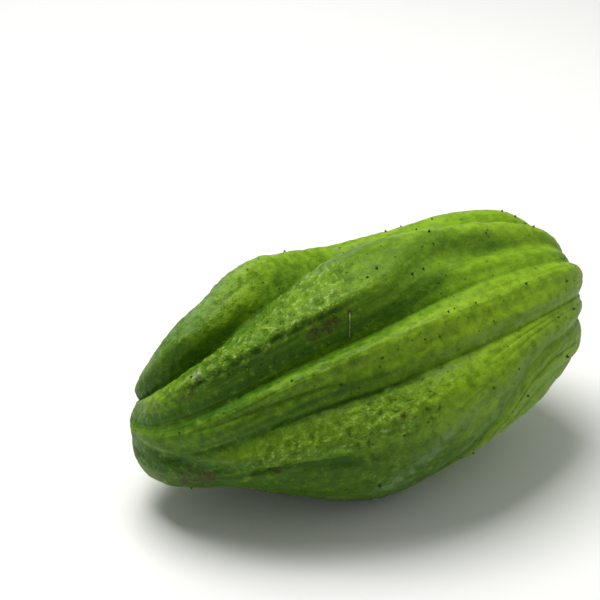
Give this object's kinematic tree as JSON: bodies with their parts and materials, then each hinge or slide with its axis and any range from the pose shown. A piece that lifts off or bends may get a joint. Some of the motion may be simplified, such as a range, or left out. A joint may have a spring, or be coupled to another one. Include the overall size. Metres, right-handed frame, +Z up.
{
  "type": "caigua",
  "caption": "Fresh caigua fruit, long and bent, with deep lengthwise ribs, soft prickles and a stalk stub in a hollow end, lying on its belly.",
  "frame": {"origin": "middle of the bounding box on the surface that the fruit lies on", "axes": "+X along the fruit from the blossom end to the stem end, +Z up, -Y the side that bulges out"},
  "size_m": [0.1742, 0.0914, 0.0916],
  "materials": {
    "skin": "waxy green skin, semi-gloss"
  },
  "bodies": {
    "root": {"fruit": "skin"}
  },
  "joints": []
}
